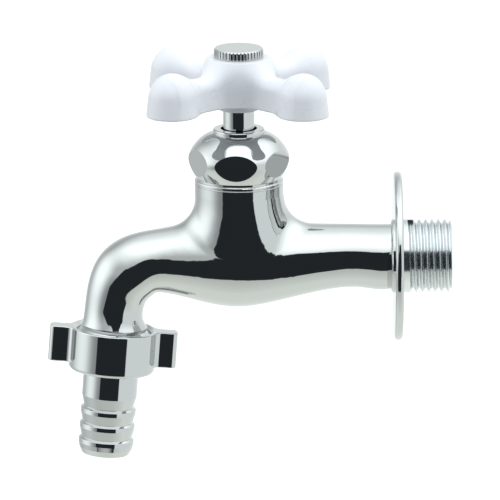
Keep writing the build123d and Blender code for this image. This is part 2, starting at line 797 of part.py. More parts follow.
# The tail's outline below the nut: one shoulder, land and taper for each barb
barb_points = []
for i in range(BARB_COUNT):
    barb_top = NUT_HEIGHT + BARB_START + BARB_PITCH * i
    barb_points += [
        (BARB_ROOT_RADIUS if i else FIRST_BARB_ROOT_RADIUS, barb_top),
        (BARB_RADIUS, barb_top + BARB_SHOULDER),
        (BARB_RADIUS, barb_top + BARB_SHOULDER + BARB_LAND),
    ]
hose_tail = turned(
    outlet_plane,
    [
        (TAIL_BORE_RADIUS, gasket_bottom),
        (TAIL_FLANGE_RADIUS, gasket_bottom),
        (TAIL_FLANGE_RADIUS, gasket_bottom + TAIL_FLANGE_THICKNESS),
        (TAIL_LAND_RADIUS, gasket_bottom + TAIL_FLANGE_THICKNESS),
        (TAIL_LAND_RADIUS, NUT_HEIGHT),
        (TAIL_NECK_RADIUS, NUT_HEIGHT),
        (TAIL_NECK_RADIUS, NUT_HEIGHT + TAIL_NECK_LENGTH),
        *barb_points,
        (TAIL_END_RADIUS + TAIL_END_ROUND, NUT_HEIGHT + TAIL_LENGTH - 2 * TAIL_END_ROUND),
        (TAIL_END_RADIUS, NUT_HEIGHT + TAIL_LENGTH),
        (TAIL_BORE_RADIUS, NUT_HEIGHT + TAIL_LENGTH),
    ],
)

turned_pieces = {
    "packing_seat": packing_seat,
    "spindle_packing": spindle_packing,
    "packing_follower": packing_follower,
    "jumper_valve": jumper_valve,
    "jumper_washer": jumper_washer,
    "handle_bush": handle_bush,
    "hose_gasket": hose_gasket,
    "hose_tail": hose_tail,
}
for name, piece in turned_pieces.items():
    piece.label = name
    export_step(piece, f"parts/{name}.step")
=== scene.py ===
"""Wall-mounted hose tap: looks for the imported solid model, every piece riding on its own body."""

from math import cos, pi, radians, sin, sqrt

import bpy
import numpy as np
from bpy.props import FloatProperty, FloatVectorProperty, IntProperty, PointerProperty, StringProperty
from mathutils import Matrix, Vector


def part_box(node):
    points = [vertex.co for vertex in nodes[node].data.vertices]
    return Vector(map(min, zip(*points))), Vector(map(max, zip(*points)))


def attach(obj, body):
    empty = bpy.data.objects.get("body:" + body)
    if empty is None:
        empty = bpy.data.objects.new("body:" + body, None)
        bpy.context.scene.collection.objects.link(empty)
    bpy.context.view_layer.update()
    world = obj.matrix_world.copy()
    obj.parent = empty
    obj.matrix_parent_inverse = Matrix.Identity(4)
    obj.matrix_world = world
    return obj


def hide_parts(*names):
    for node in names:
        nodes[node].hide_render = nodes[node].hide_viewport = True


bl_info = {
    "name": "Wall-Mounted Hose Tap",
    "version": (1, 0, 0),
    "blender": (4, 5, 0),
    "location": "View3D > Sidebar > Tap",
    "description": "Dresses a chrome-plated hose tap with a white cross handle",
    "category": "Add Mesh",
}

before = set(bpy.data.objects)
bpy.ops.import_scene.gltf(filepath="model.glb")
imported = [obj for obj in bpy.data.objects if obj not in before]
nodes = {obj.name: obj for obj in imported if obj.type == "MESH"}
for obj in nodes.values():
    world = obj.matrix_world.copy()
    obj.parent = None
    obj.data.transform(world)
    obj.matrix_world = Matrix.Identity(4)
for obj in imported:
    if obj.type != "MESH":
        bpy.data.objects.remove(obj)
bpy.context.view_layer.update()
MM = 0.001
# The outlet's axis, on which the wing nut and the hose tail sit
OUTLET = Vector((-82.45, 0.0, -20.62)) * MM
OUTLET_LEAN = radians(4.3)
# Room left round a piece where its surface is sought
MARGIN = Vector((1.0, 1.0, 1.0)) * MM


def outlet_place():
    """Placement with Z down along the outlet and X in the plane of the tap."""
    down = Vector((-sin(OUTLET_LEAN), 0.0, -cos(OUTLET_LEAN)))
    side = Vector((cos(OUTLET_LEAN), 0.0, -sin(OUTLET_LEAN)))
    return Matrix.LocRotScale(OUTLET, Matrix((side, down.cross(side), down)).transposed(), None)


class HandleSizes(bpy.types.PropertyGroup):
    """Cross handle, moulded in one piece with four lobes on arms."""

    lobe_distance: FloatProperty(
        name="Lobe distance", description="From the spindle's axis to a lobe's middle",
        default=26.45 * MM, unit="LENGTH", precision=5,
    )
    lobe_radius: FloatProperty(
        name="Lobe radius", description="Radius of a lobe where its dome starts",
        default=6.75 * MM, unit="LENGTH", precision=5,
    )
    lobe_draft: FloatProperty(
        name="Lobe draft", description="Slope of a lobe's side", default=radians(6.3), subtype="ANGLE",
    )
    lobe_shoulder: FloatProperty(
        name="Lobe shoulder", description="Height at which a lobe's dome starts, above the handle's underside",
        default=5.75 * MM, unit="LENGTH", precision=5,
    )
    turn: FloatProperty(
        name="Turn", description="Turn of the handle from the middle between the axes",
        default=radians(-1.8), subtype="ANGLE",
    )
    lobe_height: FloatProperty(
        name="Lobe height", description="Height of a lobe", default=12.4 * MM, unit="LENGTH", precision=5,
    )
    arm_width: FloatProperty(
        name="Arm width", description="Width of an arm near its lobe", default=7.4 * MM, unit="LENGTH", precision=5,
    )
    arm_height: FloatProperty(
        name="Arm height", description="Height of an arm near its lobe", default=9.3 * MM, unit="LENGTH", precision=5,
    )
    hub_swell: FloatProperty(
        name="Hub swell", description="How far an arm rises where it leaves the hub",
        default=3.9 * MM, unit="LENGTH", precision=5,
    )
    hub_top_radius: FloatProperty(
        name="Hub top radius", description="Radius of the hub round the cap",
        default=7.7 * MM, unit="LENGTH", precision=5,
    )
    arm_to_hub: FloatProperty(
        name="Arm to hub", description="How far an arm's blend into the hub reaches",
        default=5.5 * MM, unit="LENGTH", precision=5,
    )
    arm_to_lobe: FloatProperty(
        name="Arm to lobe", description="How far an arm's blend into its lobe reaches",
        default=4.0 * MM, unit="LENGTH", precision=5,
    )


class NutSizes(bpy.types.PropertyGroup):
    """Wing nut on the spout's end."""

    radius: FloatProperty(name="Radius", description="Of the barrel", default=12.3 * MM, unit="LENGTH", precision=5)
    height: FloatProperty(name="Height", description="Of the barrel", default=12.3 * MM, unit="LENGTH", precision=5)
    wing_reach: FloatProperty(
        name="Wing reach", description="From the axis to a wing's end", default=18.3 * MM, unit="LENGTH", precision=5,
    )
    wing_thickness: FloatProperty(
        name="Wing thickness", description="Of a wing", default=5.0 * MM, unit="LENGTH", precision=5,
    )
    wing_height: FloatProperty(
        name="Wing height", description="Of a wing", default=10.3 * MM, unit="LENGTH", precision=5,
    )
    wing_round: FloatProperty(
        name="Wing round", description="Radius of a wing's upright edges",
        default=1.6 * MM, unit="LENGTH", precision=5,
    )
    root_blend: FloatProperty(
        name="Root blend", description="How far a wing's blend into the barrel reaches",
        default=2.2 * MM, unit="LENGTH", precision=5,
    )
    top_round: FloatProperty(
        name="Top round", description="Radius of the barrel's top edge",
        default=0.35 * MM, unit="LENGTH", precision=5,
    )
    bottom_round: FloatProperty(
        name="Bottom round", description="Radius of the barrel's bottom edge",
        default=1.2 * MM, unit="LENGTH", precision=5,
    )


class TailSizes(bpy.types.PropertyGroup):
    """Hose tail under the wing nut."""

    neck_radius: FloatProperty(
        name="Neck radius", description="Above the barbs", default=7.87 * MM, unit="LENGTH", precision=5,
    )
    neck_length: FloatProperty(
        name="Neck length", description="From the nut to the first taper",
        default=7.4 * MM, unit="LENGTH", precision=5,
    )
    barb_radius: FloatProperty(
        name="Barb radius", description="On a barb's land", default=7.9 * MM, unit="LENGTH", precision=5,
    )
    root_radius: FloatProperty(
        name="Root radius", description="Between the barbs", default=7.2 * MM, unit="LENGTH", precision=5,
    )
    first_root_radius: FloatProperty(
        name="First root radius", description="At the foot of the neck's taper, above the first barb",
        default=7.08 * MM, unit="LENGTH", precision=5,
    )
    barb_start: FloatProperty(
        name="First barb", description="From the nut to the first barb",
        default=10.7 * MM, unit="LENGTH", precision=5,
    )
    barb_pitch: FloatProperty(
        name="Barb pitch", description="From one barb to the next", default=4.5 * MM, unit="LENGTH", precision=5,
    )
    barbs: IntProperty(name="Barbs", description="Number of barbs", default=3)
    length: FloatProperty(
        name="Length", description="From the nut to the tail's end", default=24.6 * MM, unit="LENGTH", precision=5,
    )
    edge_round: FloatProperty(
        name="Edge round", description="Radius of the barbs' edges", default=0.14 * MM, unit="LENGTH", precision=6,
    )


class CameraSettings(bpy.types.PropertyGroup):
    """Where the picture is taken from."""

    aim: FloatVectorProperty(
        name="Aim", description="Point in the middle of the picture",
        default=(-0.04349, 0.0, 0.00197), unit="LENGTH", precision=5,
    )
    distance: FloatProperty(
        name="Distance", description="From the camera to the aim", default=4.5, unit="LENGTH",
    )
    azimuth: FloatProperty(
        name="Azimuth", description="Turn of the camera round the tap", default=radians(-0.9), subtype="ANGLE",
    )
    elevation: FloatProperty(
        name="Elevation", description="Height of the camera above the level",
        default=radians(13.4), subtype="ANGLE",
    )
    roll: FloatProperty(
        name="Roll", description="Tilt of the camera about its own line of sight",
        default=radians(0.2), subtype="ANGLE",
    )
    width_seen: FloatProperty(
        name="Width seen", description="Width of the picture at the aim",
        default=0.14298, unit="LENGTH", precision=5,
    )


class StageSettings(bpy.types.PropertyGroup):
    """Floor and studio light."""

    floor_drop: FloatProperty(
        name="Floor drop", description="How far the floor lies below the inlet's axis", default=0.25, unit="LENGTH",
    )
    floor_front: FloatProperty(
        name="Floor front", description="How far the floor reaches in front of the tap", default=0.27, unit="LENGTH",
    )
    floor_reach: FloatProperty(
        name="Floor reach", description="How far the floor reaches to the sides and back", default=4.0, unit="LENGTH",
    )
    floor_glow: FloatProperty(
        name="Floor glow", description="Light that keeps the seen floor white", default=0.22,
    )
    overhead: FloatProperty(
        name="Overhead light", description="Strength of the soft light overhead", default=1.95,
    )
    side: FloatProperty(
        name="Side light", description="Strength of the soft light on the spout's side", default=1.08,
    )
    diffuse_level: FloatProperty(
        name="Level", description="Share of the studio's light that reaches matt surfaces", default=0.88,
    )
    diffuse_low: FloatProperty(
        name="Low level", description="The same share for the light from below", default=0.2,
    )
    unlit_matt: FloatProperty(
        name="Unlit, matt", description="Light that matt surfaces get from the unlit part", default=0.16,
    )
    unlit_mirrored: FloatProperty(
        name="Unlit, mirrored", description="Light that the chrome mirrors from the unlit part", default=0.036,
    )


class FinishColours(bpy.types.PropertyGroup):
    """Colours of the finishes, as sRGB hex values."""

    chrome: StringProperty(name="Chrome", description="Polished chrome plate", default="#C4C5C5")
    plastic: StringProperty(name="Handle", description="White moulded handle", default="#EEEDF4")
    brass: StringProperty(name="Brass", description="Turned brass inside the tap", default="#C9A45C")
    rubber: StringProperty(name="Rubber", description="Washers and packing", default="#232323")
    floor: StringProperty(name="Floor", description="Studio floor", default="#E6E9E3")


def linear(hex_colour):
    """A shader colour from an sRGB hex value."""
    parts = [int(hex_colour[i:i + 2], 16) / 255 for i in (1, 3, 5)]
    return (*[c / 12.92 if c <= 0.04045 else ((c + 0.055) / 1.055) ** 2.4 for c in parts], 1.0)


def add_node(tree, kind, inputs=(), **settings):
    """Adds a node with its properties, and sets or links its inputs, given as (socket, value or output) pairs."""
    node = tree.nodes.new(kind)
    for name, value in settings.items():
        setattr(node, name, value)
    for socket, value in inputs:
        if isinstance(value, bpy.types.NodeSocket):
            tree.links.new(value, node.inputs[socket])
        else:
            node.inputs[socket].default_value = value
    return node


def new_material(name):
    """An empty material and its node tree, or the one of that name that is already there, with no tree."""
    if name in bpy.data.materials:
        return bpy.data.materials[name], None
    material = bpy.data.materials.new(name)
    material.use_nodes = True
    material.node_tree.nodes.clear()
    return material, material.node_tree


def polished_chrome():
    """Chrome plate over hand-polished brass: a mirror a little darker than silver, hardly blurred, that waves
    slightly where the buffing wheel dipped, with faint smears and hairlines of use."""
    material, tree = new_material("polished_chrome_plate")
    if tree is None:
        return material
    colours = bpy.context.scene.tap_colours
    smear_size, wave_size, hairline_size = 9 * MM, 7 * MM, 0.35 * MM
    wave_depth, hairline_depth = 0.012 * MM, 0.0004 * MM
    thread_roughness, thread_run_in = 0.17, 0.5 * MM
    place = add_node(tree, "ShaderNodeTexCoord").outputs["Object"]
    smears = add_node(tree, "ShaderNodeTexNoise", [("Vector", place), ("Scale", 1 / smear_size), ("Detail", 3.0)])
    gloss = add_node(
        tree, "ShaderNodeMapRange",
        [
            ("Value", smears.outputs["Fac"]), ("From Min", 0.35), ("From Max", 0.75),
            ("To Min", 0.02), ("To Max", 0.055),
        ],
    )
    # The inlet's thread, behind the wall plane at X = 0, is made duller, and its colour is painted paler: painted
    # light that stands in for the brightness its grooves lose to shade
    axes = add_node(tree, "ShaderNodeSeparateXYZ", [(0, place)])
    thread_dull_and_painted_pale = add_node(
        tree, "ShaderNodeMapRange",
        [("Value", axes.outputs["X"]), ("From Min", 0.0), ("From Max", thread_run_in)],
    )
    roughness = add_node(
        tree, "ShaderNodeMix",
        [("Factor", thread_dull_and_painted_pale.outputs["Result"]), ("A", gloss.outputs["Result"]), ("B", thread_roughness)],
    )
    # Painted highlight: the thread's paler colour makes up for the shade between its ridges and is not a finish of
    # its own
    plate = add_node(
        tree, "ShaderNodeMix",
        [("Factor", thread_dull_and_painted_pale.outputs["Result"]), (6, linear(colours.chrome)), (7, linear("#D9DCDE"))],
        data_type="RGBA",
    )
    # Hairlines from wiping are a few hundredths of a millimetre wide, drawn ten times coarser so that they show
    stretched = add_node(tree, "ShaderNodeMapping", [("Vector", place), ("Scale", (1.0, 1.0, 0.08))])
    hairlines = add_node(
        tree, "ShaderNodeTexNoise",
        [("Vector", stretched.outputs["Vector"]), ("Scale", 1 / hairline_size), ("Detail", 2.0)],
    )
    waves = add_node(tree, "ShaderNodeTexNoise", [("Vector", place), ("Scale", 1 / wave_size), ("Detail", 0.0)])
    dips = add_node(
        tree, "ShaderNodeBump",
        [("Strength", 1.0), ("Distance", wave_depth), ("Height", waves.outputs["Fac"])],
    )
    lines = add_node(
        tree, "ShaderNodeBump",
        [
            ("Strength", 1.0), ("Distance", hairline_depth), ("Height", hairlines.outputs["Fac"]),
            ("Normal", dips.outputs["Normal"]),
        ],
    )
    shader = add_node(
        tree, "ShaderNodeBsdfPrincipled",
        [
            ("Base Color", plate.outputs[2]), ("Metallic", 1.0), ("Roughness", roughness.outputs["Result"]),
            ("Normal", lines.outputs["Normal"]),
        ],
    )
    add_node(tree, "ShaderNodeOutputMaterial", [("Surface", shader.outputs["BSDF"])])
    return material


def moulded_plastic():
    """White thermoset, moulded and left glossy: bright, with broad soft highlights and a skin that ripples."""
    material, tree = new_material("white_moulded_thermoset")
    if tree is None:
        return material
    colours = bpy.context.scene.tap_colours
    flow_size, grain_size, grain_depth = 6 * MM, 0.35 * MM, 0.002 * MM
    place = add_node(tree, "ShaderNodeTexCoord").outputs["Object"]
    flow = add_node(tree, "ShaderNodeTexNoise", [("Vector", place), ("Scale", 1 / flow_size), ("Detail", 2.0)])
    gloss = add_node(
        tree, "ShaderNodeMapRange",
        [("Value", flow.outputs["Fac"]), ("From Min", 0.3), ("From Max", 0.7), ("To Min", 0.24), ("To Max", 0.34)],
    )
    # The skin's grain, about a tenth of a millimetre across, is drawn at a third so that it shows
    grain = add_node(tree, "ShaderNodeTexNoise", [("Vector", place), ("Scale", 1 / grain_size), ("Detail", 2.0)])
    skin_bump = add_node(
        tree, "ShaderNodeBump",
        [("Strength", 1.0), ("Distance", grain_depth), ("Height", grain.outputs["Fac"])],
    )
    shader = add_node(
        tree, "ShaderNodeBsdfPrincipled",
        [
            ("Base Color", linear(colours.plastic)), ("Roughness", gloss.outputs["Result"]), ("IOR", 1.49),
            ("Normal", skin_bump.outputs["Normal"]),
        ],
    )
    add_node(tree, "ShaderNodeOutputMaterial", [("Surface", shader.outputs["BSDF"])])
    return material


def turned_brass():
    """Brass as it left the lathe: yellow, satin, with fine tool rings."""
    material, tree = new_material("turned_brass")
    if tree is None:
        return material
    colours = bpy.context.scene.tap_colours
    ring_size, ring_depth, tarnish_size = 5 * MM, 0.004 * MM, 3 * MM
    place = add_node(tree, "ShaderNodeTexCoord").outputs["Object"]
    # Tool rings a tenth of a millimetre apart, drawn at a quarter so that they show
    rings = add_node(
        tree, "ShaderNodeTexWave", [("Vector", place), ("Scale", 1 / ring_size), ("Distortion", 0.6)],
        bands_direction="Z",
    )
    cut = add_node(
        tree, "ShaderNodeBump", [("Strength", 1.0), ("Distance", ring_depth), ("Height", rings.outputs["Fac"])],
    )
    tarnish = add_node(tree, "ShaderNodeTexNoise", [("Vector", place), ("Scale", 1 / tarnish_size), ("Detail", 3.0)])
    colour = add_node(
        tree, "ShaderNodeMix",
        [("Factor", tarnish.outputs["Fac"]), (6, linear(colours.brass)), (7, linear("#A9853F"))],
        data_type="RGBA",
    )
    shader = add_node(
        tree, "ShaderNodeBsdfPrincipled",
        [
            ("Base Color", colour.outputs[2]), ("Metallic", 1.0), ("Roughness", 0.28),
            ("Normal", cut.outputs["Normal"]),
        ],
    )
    add_node(tree, "ShaderNodeOutputMaterial", [("Surface", shader.outputs["BSDF"])])
    return material


def black_rubber():
    """Moulded nitrile rubber: near black and matt, with a fine bloom."""
    material, tree = new_material("black_nitrile_rubber")
    if tree is None:
        return material
    colours = bpy.context.scene.tap_colours
    bloom_size, pore_depth = 1.2 * MM, 0.01 * MM
    place = add_node(tree, "ShaderNodeTexCoord").outputs["Object"]
    bloom = add_node(tree, "ShaderNodeTexNoise", [("Vector", place), ("Scale", 1 / bloom_size), ("Detail", 4.0)])
    colour = add_node(
        tree, "ShaderNodeMix",
        [("Factor", bloom.outputs["Fac"]), (6, linear(colours.rubber)), (7, linear("#3A3A3A"))],
        data_type="RGBA",
    )
    pores = add_node(
        tree, "ShaderNodeBump", [("Strength", 1.0), ("Distance", pore_depth), ("Height", bloom.outputs["Fac"])],
    )
    shader = add_node(
        tree, "ShaderNodeBsdfPrincipled",
        [("Base Color", colour.outputs[2]), ("Roughness", 0.75), ("IOR", 1.52), ("Normal", pores.outputs["Normal"])],
    )
    add_node(tree, "ShaderNodeOutputMaterial", [("Surface", shader.outputs["BSDF"])])
    return material


def smooth_min(a, b, reach):
    """The nearer of two distances, blended where they differ by less than the reach."""
    h = np.maximum(reach - np.abs(a - b), 0.0) / reach
    return np.minimum(a, b) - h * h * reach / 4


def smooth_max(a, b, reach):
    """The farther of two distances, blended where they differ by less than the reach."""
    return -smooth_min(-a, -b, reach)


def rounded_max(a, b, radius):
    """Where two shapes overlap, with their common edge rounded to a radius."""
    outside = np.hypot(np.maximum(a + radius, 0.0), np.maximum(b + radius, 0.0))
    return np.minimum(np.maximum(a, b), -radius) + outside


def slope_of(distance, points, step):
    """The gradient of a distance function at points."""
    sides = []
    for axis in range(3):
        shift = np.zeros(3)
        shift[axis] = step
        sides.append((distance(points + shift) - distance(points - shift)) / (2 * step))
    return np.stack(sides, -1)


def skin(distance, low, high, cell):
    """Quads over the surface where a distance function is zero, with the function's own normals.

    One point lies in each cell of the grid that the surface passes through, and is then moved onto the surface.
    """
    step = cell / 50
    counts = [int(np.ceil((h - l) / cell)) + 2 for l, h in zip(low, high)]
    axes = [l - cell / 2 + cell * np.arange(n) for l, n in zip(low, counts)]
    grid = np.stack(np.meshgrid(*axes, indexing="ij"), -1)
    value = distance(grid.reshape(-1, 3)).reshape(counts)
    total = np.zeros([n - 1 for n in counts] + [3])
    hits = np.zeros([n - 1 for n in counts])
    edges = []
    for axis in range(3):
        behind, ahead = [slice(None)] * 3, [slice(None)] * 3
        behind[axis], ahead[axis] = slice(None, -1), slice(1, None)
        a, b = value[tuple(behind)], value[tuple(ahead)]
        crossed = (a < 0) != (b < 0)
        point = grid[tuple(behind)].copy()
        point[..., axis] += cell * np.where(crossed, a / np.where(crossed, a - b, 1.0), 0.0)
        point *= crossed[..., None]
        p, q = [k for k in range(3) if k != axis]
        for i in (0, 1):
            for j in (0, 1):
                window = [slice(None)] * 3
                window[p], window[q] = slice(i, counts[p] - 1 + i), slice(j, counts[q] - 1 + j)
                total += point[tuple(window)]
                hits += crossed[tuple(window)]
        edges.append((crossed, a < 0, p, q))
    used = hits > 0
    index = np.zeros(hits.shape, int)
    index[used] = np.arange(used.sum())
    points = total[used] / hits[used][:, None]
    quads = []
    for axis, (crossed, outward, p, q) in enumerate(edges):
        where = np.argwhere(crossed)
        for k in (p, q):
            where = where[(where[:, k] > 0) & (where[:, k] < counts[k] - 1)]
        corners = []
        for i, j in ((1, 1), (0, 1), (0, 0), (1, 0)):
            at = where.copy()
            at[:, p] -= i
            at[:, q] -= j
            corners.append(index[tuple(at.T)])
        quad = np.stack(corners, -1)
        turned = outward[tuple(where.T)] == (axis == 1)
        quad[turned] = quad[turned][:, ::-1]
        quads.append(quad)
    for _ in range(4):
        slope = slope_of(distance, points, step)
        length = np.maximum((slope * slope).sum(-1), 1e-6)
        move = slope * (distance(points) / length)[:, None]
        reach = np.linalg.norm(move, axis=1)
        points -= move * np.minimum(1.0, cell / np.maximum(reach, 1e-12))[:, None]
    slope = slope_of(distance, points, step)
    return points, np.concatenate(quads), slope / np.linalg.norm(slope, axis=1)[:, None]


def rounded_outline(corners, steps=5):
    """Outline points with their outward normals, from corners (radius, height, round), the solid on the left."""
    rows = []
    count = len(corners)
    for i in range(count):
        before, here, after = (np.array(corners[(i + k) % count][:2]) for k in (-1, 0, 1))
        into, out = here - before, after - here
        into, out = into / np.linalg.norm(into), out / np.linalg.norm(out)
        bend = np.arctan2(into[0] * out[1] - into[1] * out[0], into @ out)
        cut = corners[i][2] * np.tan(abs(bend) / 2)
        first = here - into * cut
        normal = np.array((into[1], -into[0]))
        sharp = cut < 1e-9
        for k in (0, steps) if sharp else range(steps + 1):
            share = k / steps
            turn = bend * share
            c, s = np.cos(turn), np.sin(turn)
            facing = np.array((normal[0] * c - normal[1] * s, normal[0] * s + normal[1] * c))
            if sharp:
                place = here
            else:
                centre = first - normal * corners[i][2] * np.sign(bend)
                place = centre + facing * corners[i][2] * np.sign(bend)
            rows.append((*place, *facing))
    return rows


def revolve(rows, place, segments):
    """Turns an outline with its normals about the axis of a placement matrix."""
    turns = np.arange(segments) * 2 * pi / segments
    outline = np.array(rows)
    count = len(outline)
    around = np.stack((np.cos(turns), np.sin(turns)), -1)
    points = np.zeros((count, segments, 3))
    normals = np.zeros((count, segments, 3))
    for target, radial, axial in ((points, outline[:, 0], outline[:, 1]), (normals, outline[:, 2], outline[:, 3])):
        target[..., :2] = radial[:, None, None] * around[None]
        target[..., 2] = axial[:, None]
    quads = []
    for i in range(count):
        j = (i + 1) % count
        if np.allclose(outline[i, :2], outline[j, :2]):
            continue
        for k in range(segments):
            m = (k + 1) % segments
            quads.append((i * segments + k, i * segments + m, j * segments + m, j * segments + k))
    turn, shift = np.array(place)[:3, :3], np.array(place)[:3, 3]
    return points.reshape(-1, 3) @ turn.T + shift, np.array(quads), normals.reshape(-1, 3) @ turn.T


def show_piece(name, shape, material, body, replaced):
    """Makes an object of points, quads and normals, in place of a node of the frame and on its body."""
    points, quads, normals = shape
    mesh = bpy.data.meshes.new(name)
    mesh.from_pydata(points.tolist(), [], quads.tolist())
    mesh.polygons.foreach_set("use_smooth", np.ones(len(mesh.polygons), bool))
    mesh.normals_split_custom_set_from_vertices(normals.tolist())
    mesh.materials.append(material)
    piece = bpy.data.objects.new(name, mesh)
    bpy.context.scene.collection.objects.link(piece)
    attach(piece, body)
    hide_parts(replaced)


def finish_nodes(names, material):
    """Gives nodes of the frame, which keep their own shape, a material."""
    for name in names:
        nodes[name].data.materials.clear()
        nodes[name].data.materials.append(material)


def soft_patch(tree, toward, azimuth, elevation, outer, inner):
    """Share, from 0 to 1, of a round soft patch of the studio, given by its middle and two radii in degrees."""
    a, e = radians(azimuth), radians(elevation)
    middle = (sin(a) * cos(e), -cos(a) * cos(e), sin(e))
    near = add_node(tree, "ShaderNodeVectorMath", [(0, toward), (1, middle)], operation="DOT_PRODUCT")
    apart = add_node(tree, "ShaderNodeMath", [(0, near.outputs["Value"])], operation="ARCCOSINE")
    return add_node(
        tree, "ShaderNodeMapRange",
        [("Value", apart.outputs[0]), ("From Min", radians(outer)), ("From Max", radians(inner))],
        interpolation_type="SMOOTHSTEP",
    ).outputs["Result"]


def darkened(tree, level, patch, share):
    """A brightness with a share of it taken away where a patch lies."""
    left = add_node(tree, "ShaderNodeMath", [(0, patch), (1, -share), (2, 1.0)], operation="MULTIPLY_ADD")
    return add_node(tree, "ShaderNodeMath", [(0, level), (1, left.outputs[0])], operation="MULTIPLY").outputs[0]


def studio_pattern(tree, toward):
    """Brightness of the studio by direction, and by direction the share of its unlit part and of its floor.

    Angles are in degrees, azimuths from the camera's side towards the wall flange.
    """
    stage = bpy.context.scene.tap_stage
    axes = add_node(tree, "ShaderNodeSeparateXYZ", [(0, toward)])
    forward = add_node(tree, "ShaderNodeMath", [(0, axes.outputs["Y"]), (1, -1.0)], operation="MULTIPLY")
    azimuth = add_node(
        tree, "ShaderNodeMath", [(0, axes.outputs["X"]), (1, forward.outputs[0])], operation="ARCTAN2",
    )
    elevation = add_node(tree, "ShaderNodeMath", [(0, axes.outputs["Z"])], operation="ARCSINE")
    # The room, paler on the flange's side than on the spout's
    bright_side = add_node(
        tree, "ShaderNodeVectorMath", [(0, toward), (1, (sin(radians(100)), -cos(radians(100)), 0.0))],
        operation="DOT_PRODUCT",
    )
    level = add_node(
        tree, "ShaderNodeMapRange",
        [
            ("Value", bright_side.outputs["Value"]), ("From Min", -0.4), ("From Max", 0.25),
            ("To Min", 0.72), ("To Max", 1.08),
        ],
    ).outputs["Result"]
    # A soft light on the spout's side, and the unlit corner between it and the camera
    box = soft_patch(tree, toward, -92, 15, 52, 8)
    level = add_node(
        tree, "ShaderNodeMath", [(0, box), (1, stage.side), (2, level)], operation="MULTIPLY_ADD",
    ).outputs[0]
    level = darkened(tree, level, soft_patch(tree, toward, -44, -20, 38, 5), 0.45)
    # The soft light overhead, leaning towards the flange, and the dimmer ceiling behind the tap
    above = soft_patch(tree, toward, 60, 78, 72, 32)
    level = add_node(
        tree, "ShaderNodeMix", [("Factor", above), ("A", level), ("B", stage.overhead)],
    ).outputs["Result"]
    level = darkened(tree, level, soft_patch(tree, toward, -170, 52, 50, 10), 0.32)
    # The floor, darker towards the camera
    ground = add_node(
        tree, "ShaderNodeMapRange",
        [("Value", forward.outputs[0]), ("From Min", 0.78), ("From Max", 0.15), ("To Min", 0.80), ("To Max", 1.10)],
    )
    low = add_node(
        tree, "ShaderNodeMapRange",
        [("Value", elevation.outputs[0]), ("From Min", radians(-22)), ("From Max", radians(-44))],
        interpolation_type="SMOOTHSTEP",
    ).outputs["Result"]
    level = add_node(
        tree, "ShaderNodeMix", [("Factor", low), ("A", level), ("B", ground.outputs["Result"])],
    ).outputs["Result"]
    # The unlit studio behind the camera: its upper edge, as azimuth and elevation, with the ramp's reach in each
    skyline = [
        (-46, -9), (-43, -7), (-39, -4), (-33, 1), (-27, 8), (-21, 15), (-9, 17), (-2, 27), (20, 28), (27, 20),
        (33, 9), (38, 0),
    ]
    half_width, lowest, rise_reach = 60, -20, 60
    place = add_node(
        tree, "ShaderNodeMapRange",
        [("Value", azimuth.outputs[0]), ("From Min", radians(-half_width)), ("From Max", radians(half_width))],
    )
    edge_ramp = add_node(tree, "ShaderNodeValToRGB", [("Fac", place.outputs["Result"])])
    fill_ramp(edge_ramp, [((a + half_width) / (2 * half_width), (e - lowest) / rise_reach) for a, e in skyline])
    rise = add_node(
        tree, "ShaderNodeMath", [(0, edge_ramp.outputs["Color"]), (1, radians(rise_reach)), (2, radians(lowest))],
        operation="MULTIPLY_ADD",
    )
    over = add_node(tree, "ShaderNodeMath", [(0, elevation.outputs[0]), (1, rise.outputs[0])], operation="SUBTRACT")
    # Its lower edge drops a little towards the flange's side
    lean = add_node(
        tree, "ShaderNodeMath", [(0, azimuth.outputs[0]), (1, 0.08), (2, elevation.outputs[0])],
        operation="MULTIPLY_ADD",
    )
    dark = None
    for value, outer, inner in (
        (azimuth.outputs[0], -45.8, -43.8), (azimuth.outputs[0], 37, 35), (lean.outputs[0], -38.5, -37),
        (over.outputs[0], 2.0, -1.0),
    ):
        edge = add_node(
            tree, "ShaderNodeMapRange",
            [("Value", value), ("From Min", radians(outer)), ("From Max", radians(inner))],
            interpolation_type="SMOOTHSTEP",
        ).outputs["Result"]
        if dark is None:
            dark = edge
        else:
            dark = add_node(tree, "ShaderNodeMath", [(0, dark), (1, edge)], operation="MULTIPLY").outputs[0]
    return level, dark, low


def fill_ramp(ramp, stops):
    """Gives a colour ramp grey stops, as (position, value) pairs."""
    elements = ramp.color_ramp.elements
    while len(elements) > 1:
        elements.remove(elements[-1])
    for index, (position, value) in enumerate(stops):
        element = elements[0] if index == 0 else elements.new(position)
        element.position = position
        element.color = (value, value, value, 1.0)


